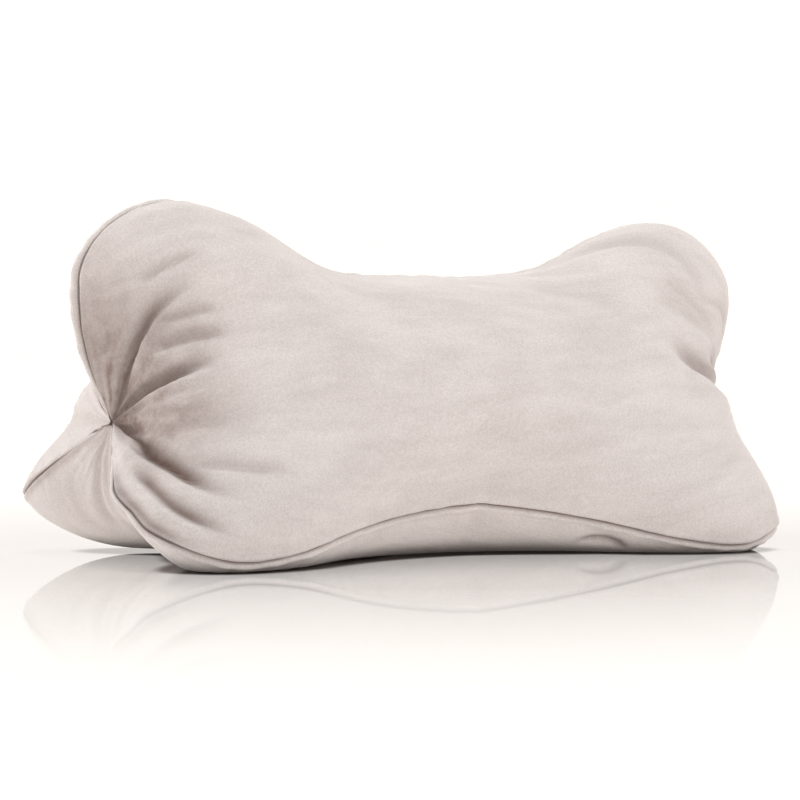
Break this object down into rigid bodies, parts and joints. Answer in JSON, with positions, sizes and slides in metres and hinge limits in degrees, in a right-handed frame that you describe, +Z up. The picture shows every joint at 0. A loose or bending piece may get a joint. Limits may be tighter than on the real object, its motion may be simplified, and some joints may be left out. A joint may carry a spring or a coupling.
{
  "type": "bone-shaped reading pillow",
  "caption": "Firm bone-shaped reading pillow of velvet panels sewn edge to edge, with lobed ends, pleats where the seams meet, and a round waist for the neck.",
  "frame": {"origin": "middle of the pillow's box in X and Y, on the surface it rests on", "axes": "+X along the pillow, -Y to the front that the picture shows, +Z up"},
  "size_m": [0.4506, 0.241, 0.2085],
  "materials": {
    "velvet": "short-pile velvet in pale greyish beige, matt with a soft sheen and faint nap marks"
  },
  "bodies": {
    "root": {"pillow": "velvet"}
  },
  "joints": []
}
